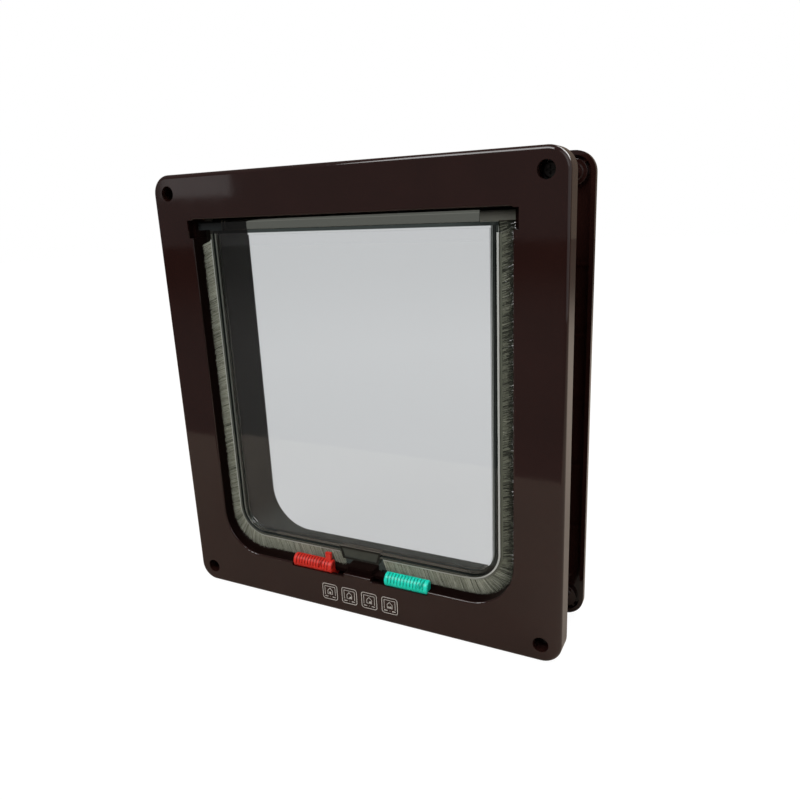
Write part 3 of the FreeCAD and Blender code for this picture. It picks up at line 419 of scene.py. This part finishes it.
def flap_material():
    """Clear plastic in zones: pane, hinge bar, barrels, and the rim's edge, ridge and pale weld line.

    The ridge and a band at the bar's top carry painted highlights; a band under the bar, the rim's right
    side and the left barrel carry painted shade.
    """
    material = bpy.data.materials.new("smoke_clear_plastic")
    tree = Tree(material)
    low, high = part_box("flap_pane")
    parts = tree.place_parts()
    width, height = parts["X"], parts["Z"]
    bar_low = high.z - BAR_HEIGHT
    on_bar = tree.math("GREATER_THAN", height, bar_low)
    # Painted shadow: a band under the hinge bar takes the rim's dark tint.
    under_bar = tree.math("GREATER_THAN", height, bar_low - UNDER_BAR_SHADOW)
    at_end = tree.math("GREATER_THAN", tree.math("ABSOLUTE", width), BAR_END)
    on_barrel = tree.math("MULTIPLY", on_bar, at_end)
    # Painted highlight: a thin band just under the bar's top.
    on_bar_highlight = tree.between(tree.math("SUBTRACT", high.z, height), *BAR_EDGE)

    inset = flap_edge_distance(tree, width, height, low.z)
    rightward = tree.map_range(width, RIGHT_START, FLAP_HALF)
    sideways = tree.map_range(tree.math("ABSOLUTE", width), RIGHT_START, FLAP_HALF)
    rim_width = tree.math("ADD", tree.math("MULTIPLY", sideways, SIDE_RIM - BOTTOM_RIM), BOTTOM_RIM)
    on_rim = tree.math("MAXIMUM", tree.math("LESS_THAN", inset, rim_width), under_bar)
    # Painted highlight: a paler band on the rim's ridge, on the left and along the bottom.
    on_ridge_highlight = tree.math("MULTIPLY", tree.between(inset, *RIDGE_BAND), tree.without(rightward))
    on_edge = tree.math("MULTIPLY", tree.math("LESS_THAN", inset, EDGE_BAND), tree.without(under_bar))
    on_weld = tree.math("LESS_THAN", inset, tree.math("MULTIPLY", rightward, WELD_BAND))
    below_top = tree.math("LESS_THAN", height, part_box("brush_backing_right")[1].z)
    on_weld = tree.math("MULTIPLY", on_weld, below_top)

    # Painted shade: the rim turns darker towards the right side.
    tint = tree.blend(on_rim, PANE_TINT, tree.blend(rightward, RIM_TINT, RIGHT_RIM_SHADE_TINT))
    tint = tree.blend(tree.math("MULTIPLY", on_ridge_highlight, on_rim), tint, RIDGE_HIGHLIGHT_TINT)
    tint = tree.blend(on_edge, tint, EDGE_TINT)
    tint = tree.blend(on_weld, tint, WELD_COLOUR)
    tint = tree.blend(on_bar, tint, BAR_TINT)
    tint = tree.blend(on_bar_highlight, tint, BAR_HIGHLIGHT_TINT)
    # Painted shade: the left barrel is darker than the right one.
    at_left = tree.math("LESS_THAN", width, 0.0)
    tint = tree.blend(on_barrel, tint, tree.blend(at_left, BARREL_COLOUR, LEFT_BARREL_SHADE))

    dull_rim = tree.math("SUBTRACT", on_rim, tree.math("MAXIMUM", on_bar, under_bar))
    dull_rim = tree.math("MULTIPLY", dull_rim, tree.without(rightward))
    clear = tree.math("SUBTRACT", PANE_CLEAR, tree.math("MULTIPLY", dull_rim, PANE_CLEAR - RIM_CLEAR))
    opaque = tree.math("MAXIMUM", on_barrel, on_weld)

    shader = tree.add("ShaderNodeBsdfPrincipled")
    tree.put(shader, "Base Color", tint)
    tree.put(shader, "Roughness", tree.spread(tree.noise(ROUGHNESS_WAVES), *PANE_ROUGHNESS))
    tree.put(shader, "Normal", tree.bump(tree.noise(RIPPLE_WAVES), RIPPLE_DEPTH))
    tree.put(shader, "Transmission Weight", tree.math("MULTIPLY", clear, tree.without(opaque)))
    shader.inputs["Specular IOR Level"].default_value = CLEAR_SPECULAR
    shader.inputs["IOR"].default_value = CLEAR_INDEX
    tree.show(shader)
    return material


def hair_shade(name, colour):
    return surface(
        name, colour, 0.12, (0.55, 0.7), 600, (4000, 0.02 * MM), Sheen_Weight=0.3, Specular_IOR_Level=0.3
    )


# A solid's material goes by its slot, but two pieces in the flap's slot are dark instead of clear.
NODE_MATERIALS = {
    "magnet_holder": "holder",
    "magnet_cap": "holder",
}
SLOT_MATERIALS = {
    "frame_plastic": "frame",
    "flap_plastic": "flap",
    "brush_base": "backing",
    "brush_pile": "pile",
    "black_plastic": "frame",
    "red_plastic": "red",
    "green_plastic": "green",
    "steel": "steel",
    "magnet": "magnet",
}


def dress_nodes(materials):
    for part in frame["record"]["subparts"]:
        node = nodes[part["node"]]
        by_slot = SLOT_MATERIALS[part["material_slot"]]
        material = materials[NODE_MATERIALS.get(part["node"], by_slot)]
        node.data.materials.clear()
        node.data.materials.append(material)


def add_piece(name, points, faces, material, body):
    mesh = bpy.data.meshes.new(name)
    mesh.from_pydata(points, [], faces)
    mesh.materials.append(material)
    mesh.update()
    piece = bpy.data.objects.new(name, mesh)
    bpy.context.scene.collection.objects.link(piece)
    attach(piece, body)
    return piece


# The pile: hairs that stand on the base strip, from the magnet block to the hinge barrel, in rows
# from the front to the rear.
HAIR_SPACING = 0.24 * MM
HAIR_ROWS = 9
ROW_SPREAD = (0.1, 0.9)
STRIP_RADIUS = 18.2 * MM
ROOT_SINK = 0.4 * MM
PILE_SEEDS = {"left": 5, "right": 9}

# One hair: its sides, its width and how that varies and tapers, and how far it leans and bends.
HAIR_RING = 3
HAIR_WIDTH = 0.24 * MM
WIDTH_CHANGE = (0.75, 1.1)
MIDDLE_WIDTH = 0.85
TIP_WIDTH = 0.35
ONE_WAY_LEAN = 0.42
HAIR_LEAN = 0.35 * MM
HAIR_BEND = 0.25 * MM
BEND_PLACE = (0.45, 0.85)

# Clumps share a lean, a shade and a reach; some hairs in them stray to another shade.
CLUMP_HAIRS = 2
CLUMP_LEAN = 0.35 * MM
CLUMP_REACH = 0.84
EVEN_REACH = 0.95
STRAY_SHARE = 0.4

# How far hairs reach past the pile's solid, in front and further for each row to the rear.
TIP_REACH = {"left": 1.0 * MM, "right": -0.8 * MM}
BOTTOM_REACH = 0.7 * MM
CORNER_REACH = 1.2 * MM
REAR_REACH = {"left": 0.9 * MM, "right": 2.6 * MM}
HAIR_REACH = (0.94, 1.02)

# Above the strip's top end the hairs fill the hinge pocket's corner.
POCKET_REACH = 3.3 * MM
TOP_SINK = 1.15 * MM
TOP_RISE = 0.75 * MM

# The four shades' shares, darkest first: where light falls, on the dim right side, and in the pocket.
# The darker shares on the right side and in the pocket are painted shade, as are the tips darkened on
# the right and the darkest tips of its rear rows.
PALE_SHADES = (0.06, 0.27, 0.42, 0.25)
DIM_SHADES = (0.36, 0.56, 0.08, 0.0)
TOP_SHADES = (0.75, 0.25, 0.0, 0.0)
TIP_DARKENING = 0.8
REAR_START = 0.45


def pile_roots(side):
    """Root places along the strip as (place, outward way, travel way, share of the corner passed).

    The travel way runs down the left side, along the bottom to the right, and up the right side.
    """
    strip_low, strip_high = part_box(f"brush_backing_{side}")
    sign = 1 if side == "right" else -1
    inner = min(abs(strip_low.x), abs(strip_high.x))
    outer = max(abs(strip_low.x), abs(strip_high.x))
    bottom = outer - STRIP_RADIUS - inner
    bend = STRIP_RADIUS * math.pi / 2
    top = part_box(f"brush_pile_{side}")[1].z
    total = bottom + bend + top - strip_low.z - STRIP_RADIUS
    if side == "right":
        total += TOP_RISE
    for step in range(int(total / HAIR_SPACING)):
        along = step * HAIR_SPACING
        if along < bottom:
            angle = 0.0
            x, z = inner + along, strip_low.z
        elif along < bottom + bend:
            angle = (along - bottom) / STRIP_RADIUS
            x = outer - STRIP_RADIUS * (1 - math.sin(angle))
            z = strip_low.z + STRIP_RADIUS * (1 - math.cos(angle))
        else:
            angle = math.pi / 2
            x, z = outer, strip_low.z + STRIP_RADIUS + along - bottom - bend
        way = Vector((sign * math.sin(angle), 0, -math.cos(angle)))
        travel = Vector((math.cos(angle), 0, sign * math.sin(angle)))
        round_share = angle / (math.pi / 2)
        yield Vector((sign * x, 0, z)), way, travel, round_share


def add_hair(points, faces, root, middle, tip, across, width):
    """One three-sided hair in two lengths, closed at the tip."""
    start = len(points)
    other = (tip - root).normalized().cross(across).normalized()
    for spot, share in ((root, 1.0), (middle, MIDDLE_WIDTH), (tip, TIP_WIDTH)):
        for turn in range(HAIR_RING):
            angle = turn * 2 * math.pi / HAIR_RING
            offset = (across * math.cos(angle) + other * math.sin(angle)) * width / 2 * share
            points.append(spot + offset)
    for ring in (start, start + HAIR_RING):
        for turn in range(HAIR_RING):
            after = (turn + 1) % HAIR_RING
            faces.append((ring + turn, ring + after, ring + HAIR_RING + after, ring + HAIR_RING + turn))
    faces.append(tuple(range(start + 2 * HAIR_RING, start + 3 * HAIR_RING)))


def choose_clump(chance, weights, shortest):
    """For each row the clump's lean, shade and share of the full reach."""
    leans = [chance.uniform(-1, 1) * CLUMP_LEAN for _ in range(HAIR_ROWS)]
    shades = chance.choices(range(len(weights)), weights, k=HAIR_ROWS)
    reaches = [chance.uniform(shortest, 1.0) for _ in range(HAIR_ROWS)]
    return list(zip(leans, shades, reaches))


def add_pile(side, shades):
    """Hairs in small clumps along one half of the strip; shades has the darkest first."""
    chance = random.Random(PILE_SEEDS[side])
    low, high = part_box(f"brush_pile_{side}")
    strip_low, strip_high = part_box(f"brush_backing_{side}")
    middle_y = (low.y + high.y) / 2
    root_half = (strip_high.y - strip_low.y) / 2 - HAIR_WIDTH / 2
    tip_half = (high.y - low.y) / 2 - HAIR_WIDTH / 2
    drop = strip_low.z - low.z
    reach_side = max(abs(low.x), abs(high.x)) - max(abs(strip_low.x), abs(strip_high.x))
    points, faces, face_shades = [], [], []
    across = Vector((0, 1, 0))
    for count, (place, way, travel, round_share) in enumerate(pile_roots(side)):
        above = place.z > strip_high.z
        length = drop + (reach_side - drop) * round_share
        length += BOTTOM_REACH + (TIP_REACH[side] - BOTTOM_REACH) * round_share
        length += CORNER_REACH * math.sin(round_share * math.pi)
        dim = round_share if side == "right" else 0.0
        sink = TOP_SINK if above else ROOT_SINK
        if count % CLUMP_HAIRS == 0:
            # Painted shade: clumps on the right side and in the hinge pocket take darker shades.
            weights = [pale + (dark - pale) * dim for pale, dark in zip(PALE_SHADES, DIM_SHADES)]
            weights = TOP_SHADES if above else weights
            clump = choose_clump(chance, weights, EVEN_REACH if above or side == "right" else CLUMP_REACH)
        for row, (clump_lean, shade, clump_reach) in enumerate(clump):
            share = (row + chance.uniform(*ROW_SPREAD)) / HAIR_ROWS * 2 - 1
            slide = chance.uniform(-0.5, 0.5) * HAIR_SPACING
            root = place + across * (middle_y + share * root_half) + travel * slide - way * sink
            depth = row / HAIR_ROWS
            rear = POCKET_REACH if above else REAR_REACH[side]
            reach = (length + rear * depth) * clump_reach * chance.uniform(*HAIR_REACH)
            lean = reach * ONE_WAY_LEAN + clump_lean + chance.uniform(-1, 1) * HAIR_LEAN
            if side == "right":
                lean = min(lean, high.z + TOP_RISE - place.z)
            tip = place + across * (middle_y + share * tip_half) + travel * (slide + lean) + way * reach
            middle = root.lerp(tip, chance.uniform(*BEND_PLACE))
            middle += travel * chance.uniform(-1, 1) * HAIR_BEND
            add_hair(points, faces, root, middle, tip, across, HAIR_WIDTH * chance.uniform(*WIDTH_CHANGE))
            if chance.random() < STRAY_SHARE:
                shade = chance.choices(range(len(shades)), weights)[0]
            # Painted shade: on the right side tips turn darker, and the rear rows' tips darkest.
            tip_shade = max(0, shade - (chance.random() < dim * TIP_DARKENING))
            if depth > REAR_START and chance.random() < dim:
                tip_shade = 0
            face_shades += [shade] * HAIR_RING + [tip_shade] * (HAIR_RING + 1)
    piece = add_piece(f"pile_hairs_{side}", points, faces, shades[0], "flap")
    for shade in shades[1:]:
        piece.data.materials.append(shade)
    piece.data.polygons.foreach_set("material_index", face_shades)
    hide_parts(f"brush_pile_{side}")


# Icons under the locks: a house under an arch in a square, with a mark for each way of passing.
ICON_CENTRES = (-18.9 * MM, -5.8 * MM, 7.35 * MM, 20.55 * MM)
ICON_HEIGHT = 11.5 * MM
ICON_SIZE = 9.8 * MM
ICON_LINE = 0.40 * MM
ICON_THIN = 0.32 * MM
ICON_RADIUS = 1.5 * MM
ARCH_HALF = 3.45 * MM
ARCH_TOP = 3.3 * MM
ARCH_FOOT = -2.3 * MM
HOUSE_HALF = 1.6 * MM
HOUSE_BASE = -1.6 * MM
HOUSE_EAVE = 0.6 * MM
HOUSE_PEAK = 2.3 * MM
ICON_BLOBS = ((0, -0.7 * MM, 0.62 * MM), (0.8 * MM, -1.0 * MM, 0.7 * MM), (0.75 * MM, -1.0 * MM, 0.85 * MM))
ARROW_HALF = 1.35 * MM
ARROW_HEAD = 0.85 * MM
ARROW_SHAFT = 0.28 * MM
ARROW_DROP = -0.95 * MM
RULE_DROP = -3.3 * MM
RULE_INNER = 1.5 * MM
RULE_OUTER = 3.6 * MM
RULE_WIDTH = 0.55 * MM
RULE_DOT = RULE_WIDTH / 3
PRINT_LIFT = 0.03 * MM
ARC_STEPS = 6
DISC_STEPS = 16
MITRE_LEAST = 0.4


def rounded_square(centre_x, centre_z, size, radius):
    corners = ((1, -1, -90), (1, 1, 0), (-1, 1, 90), (-1, -1, 180))
    spots = []
    for way_x, way_z, start in corners:
        x = centre_x + way_x * (size / 2 - radius)
        z = centre_z + way_z * (size / 2 - radius)
        for step in range(ARC_STEPS + 1):
            angle = math.radians(start + 90 * step / ARC_STEPS)
            spots.append((x + radius * math.cos(angle), z + radius * math.sin(angle)))
    return spots


def disc(centre_x, centre_z, radius):
    turns = [2 * math.pi * step / DISC_STEPS for step in range(DISC_STEPS)]
    return [(centre_x + radius * math.cos(turn), centre_z + radius * math.sin(turn)) for turn in turns]


class Print:
    """Flat marks on the inside frame's face, collected into one mesh; their spots are (x, z)."""

    def __init__(self, depth):
        self.depth = depth
        self.points = []
        self.faces = []

    def fill(self, spots):
        """One filled face."""
        start = len(self.points)
        self.points += [(x, self.depth, z) for x, z in spots]
        self.faces.append(tuple(range(start, start + len(spots))))

    def line(self, spots, width, closed=False):
        """A stroke of even width along the spots, mitred at each corner."""
        count = len(spots)
        path = [Vector(spot) for spot in spots]
        start = len(self.points)
        for index, spot in enumerate(path):
            before = path[index - 1] if closed or index else spot
            after = path[(index + 1) % count] if closed or index < count - 1 else spot
            steps = [step for step in (spot - before, after - spot) if step.length]
            ways = [step.normalized() for step in steps]
            normals = [Vector((-way.y, way.x)) for way in ways]
            mitre = sum(normals, Vector((0, 0))).normalized()
            reach = width / 2 / max(MITRE_LEAST, mitre.dot(normals[0]))
            for edge in (mitre * reach, -mitre * reach):
                self.points.append((spot.x + edge.x, self.depth, spot.y + edge.y))
        for index in range(count if closed else count - 1):
            here, there = start + 2 * index, start + 2 * ((index + 1) % count)
            self.faces.append((here, there, there + 1, here + 1))


def draw_icon(marks, centre, number):
    """A square, an arch inside it, a house, this way of passing's mark, and a rule in two parts."""
    def moved(spots, drop=0.0):
        return [(centre + x, ICON_HEIGHT + drop + z) for x, z in spots]

    marks.line(rounded_square(centre, ICON_HEIGHT, ICON_SIZE, ICON_RADIUS), ICON_LINE, closed=True)
    arch = [(-ARCH_HALF, ARCH_FOOT), (-ARCH_HALF, ARCH_TOP), (ARCH_HALF, ARCH_TOP), (ARCH_HALF, ARCH_FOOT)]
    marks.line(moved(arch), ICON_THIN)
    house = [(-HOUSE_HALF, HOUSE_BASE), (HOUSE_HALF, HOUSE_BASE), (HOUSE_HALF, HOUSE_EAVE), (0, HOUSE_PEAK),
             (-HOUSE_HALF, HOUSE_EAVE)]
    marks.line(moved(house), ICON_THIN, closed=True)
    if number < len(ICON_BLOBS):
        x, z, radius = ICON_BLOBS[number]
        marks.fill(disc(centre + x, ICON_HEIGHT + z, radius))
    else:
        marks.fill(moved(arrow_outline(), ARROW_DROP))
    for side in (-1, 1):
        rule = [(side * RULE_INNER, 0), (side * RULE_OUTER, 0)]
        marks.line(moved(rule, RULE_DROP), RULE_WIDTH)
    marks.fill(disc(centre, ICON_HEIGHT + RULE_DROP, RULE_DOT))


def arrow_outline():
    neck = ARROW_HALF - ARROW_HEAD
    return [(-ARROW_HALF, -ARROW_SHAFT), (neck, -ARROW_SHAFT), (neck, -ARROW_HEAD), (ARROW_HALF, 0),
            (neck, ARROW_HEAD), (neck, ARROW_SHAFT), (-ARROW_HALF, ARROW_SHAFT)]


def add_icons(material):
    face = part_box("inner_frame")[0].y
    marks = Print(face - PRINT_LIFT)
    for number, centre in enumerate(ICON_CENTRES):
        draw_icon(marks, centre, number)
    add_piece("lock_icons", marks.points, marks.faces, material, "housing")


# The floor: white to the eye, with the object's shadow. Light and gloss meet a table on it instead,
# and darker ground beyond the table's front edge.
FLOOR_HALF = 4.0
FLOOR_DROP = 0.2 * MM
FLOOR_GLOW = (0.95, 1.0)
FLOOR_FADE = (0.35, 0.75)
FLOOR_CATCH = 0.10
TABLE_COLOUR = (0.53, 0.46, 0.39, 1.0)
BEYOND_TABLE = (0.16, 0.15, 0.148, 1.0)
TABLE_FRONT = -0.265


def add_floor():
    """A flat floor a little under the object, whose white comes up to full away from the middle."""
    mesh = bpy.data.meshes.new("floor")
    corners = [(-FLOOR_HALF, -FLOOR_HALF), (FLOOR_HALF, -FLOOR_HALF), (FLOOR_HALF, FLOOR_HALF),
               (-FLOOR_HALF, FLOOR_HALF)]
    mesh.from_pydata([(x, y, -FLOOR_DROP) for x, y in corners], [], [(0, 1, 2, 3)])
    material = bpy.data.materials.new("pale_floor")
    tree = Tree(material)
    catch = tree.add("ShaderNodeBsdfDiffuse", Color=(FLOOR_CATCH,) * 3 + (1.0,))
    parts = tree.place_parts()
    strength = tree.map_range(tree.distance(parts["X"], parts["Y"]), *FLOOR_FADE, *FLOOR_GLOW)
    glow = tree.add("ShaderNodeEmission", Color=WHITE, Strength=strength)
    seen = tree.add("ShaderNodeAddShader")
    tree.put(seen, 0, catch.outputs[0])
    tree.put(seen, 1, glow.outputs[0])
    on_table = tree.math("GREATER_THAN", parts["Y"], TABLE_FRONT)
    unseen = tree.add("ShaderNodeBsdfDiffuse", Color=tree.blend(on_table, BEYOND_TABLE, TABLE_COLOUR))
    tree.show(seen_by_eye(tree, unseen, seen))
    mesh.materials.append(material)
    floor = bpy.data.objects.new("floor", mesh)
    bpy.context.scene.collection.objects.link(floor)
    floor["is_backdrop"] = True


def seen_by_eye(tree, others, seen):
    """One shader for rays straight from the camera or through clear plastic only, one for all others."""
    rays = tree.add("ShaderNodeLightPath").outputs
    bounces = tree.math("ADD", rays["Glossy Depth"], rays["Diffuse Depth"])
    direct = tree.math("LESS_THAN", bounces, 0.5)
    through = tree.math("MULTIPLY", rays["Is Transmission Ray"], direct)
    pick = tree.add("ShaderNodeMixShader", Fac=tree.math("MAXIMUM", rays["Is Camera Ray"], through))
    tree.put(pick, 1, others.outputs[0])
    tree.put(pick, 2, seen.outputs[0])
    return pick


# The world round the object, as light and gloss meet it: in front, and from where it turns warmer.
WORLD_FRONT = (0.18, 0.175, 0.175, 1.0)
WORLD_BACK = (0.19, 0.155, 0.12, 1.0)
WORLD_TURN = 0.8


def light_world():
    """White behind the object for the eye, and a soft dim studio for light and gloss."""
    world = bpy.data.worlds.new("studio")
    bpy.context.scene.world = world
    tree = Tree(world)
    way = tree.add("ShaderNodeTexCoord").outputs["Generated"]
    parts = tree.add("ShaderNodeSeparateXYZ", Vector=way)
    colour = tree.ramp(parts.outputs["Y"], [(0.0, WORLD_FRONT), (WORLD_TURN, WORLD_BACK)])
    studio = tree.add("ShaderNodeBackground", Color=colour, Strength=1.0)
    backdrop = tree.add("ShaderNodeBackground", Color=WHITE, Strength=1.0)
    out = tree.add("ShaderNodeOutputWorld")
    tree.put(out, "Surface", seen_by_eye(tree, studio, backdrop).outputs[0])


def add_lamp(name, spot, aim, size, watts):
    """A rectangular soft light at a spot that looks at its aim."""
    data = bpy.data.lights.new(name, "AREA")
    data.shape = "RECTANGLE"
    data.size, data.size_y = size
    data.energy = watts
    lamp = bpy.data.objects.new(name, data)
    lamp.location = spot
    lamp.rotation_mode = "QUATERNION"
    lamp.rotation_quaternion = (Vector(aim) - Vector(spot)).to_track_quat("-Z", "Y")
    bpy.context.scene.collection.objects.link(lamp)


# The lamps' aims: the object's middle, the foot of its right side, and the spot on the inside frame's
# upper left where a dim window mirrors itself.
RIGHT_FOOT = (0.13, 0.03, 0.0)
PATCH_SPOT = (-0.085, -0.0275, 0.243)


def add_lamps():
    middle = (cad_box[0] + cad_box[1]) / 2
    add_lamp("key", (-0.35, -1.05, 1.35), middle, (0.9, 0.9), 18)
    add_lamp("side", (1.1, -0.7, 0.9), middle, (0.7, 0.9), 1.6)
    add_lamp("back", (0.5, 0.7, 0.9), middle, (0.7, 0.7), 9)
    add_lamp("low", (0.35, -0.05, 0.25), RIGHT_FOOT, (0.4, 0.4), 0.25)
    add_lamp("window", (-1.09, -1.13, 0.31), PATCH_SPOT, (0.17, 0.07), 0.025)


def note_sizes():
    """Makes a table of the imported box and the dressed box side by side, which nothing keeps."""
    names = ("cad_low", "cad_high", "seen_low", "seen_high")
    corners = cad_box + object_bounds()
    {name: list(corner) for name, corner in zip(names, corners)}


add_camera()
materials = make_materials()
dress_nodes(materials)
for side in ("left", "right"):
    add_pile(side, [materials[name] for name in ("pile_deep", "pile_dark", "pile", "pile_light")])
add_icons(materials["print"])
add_floor()
light_world()
add_lamps()
note_sizes()
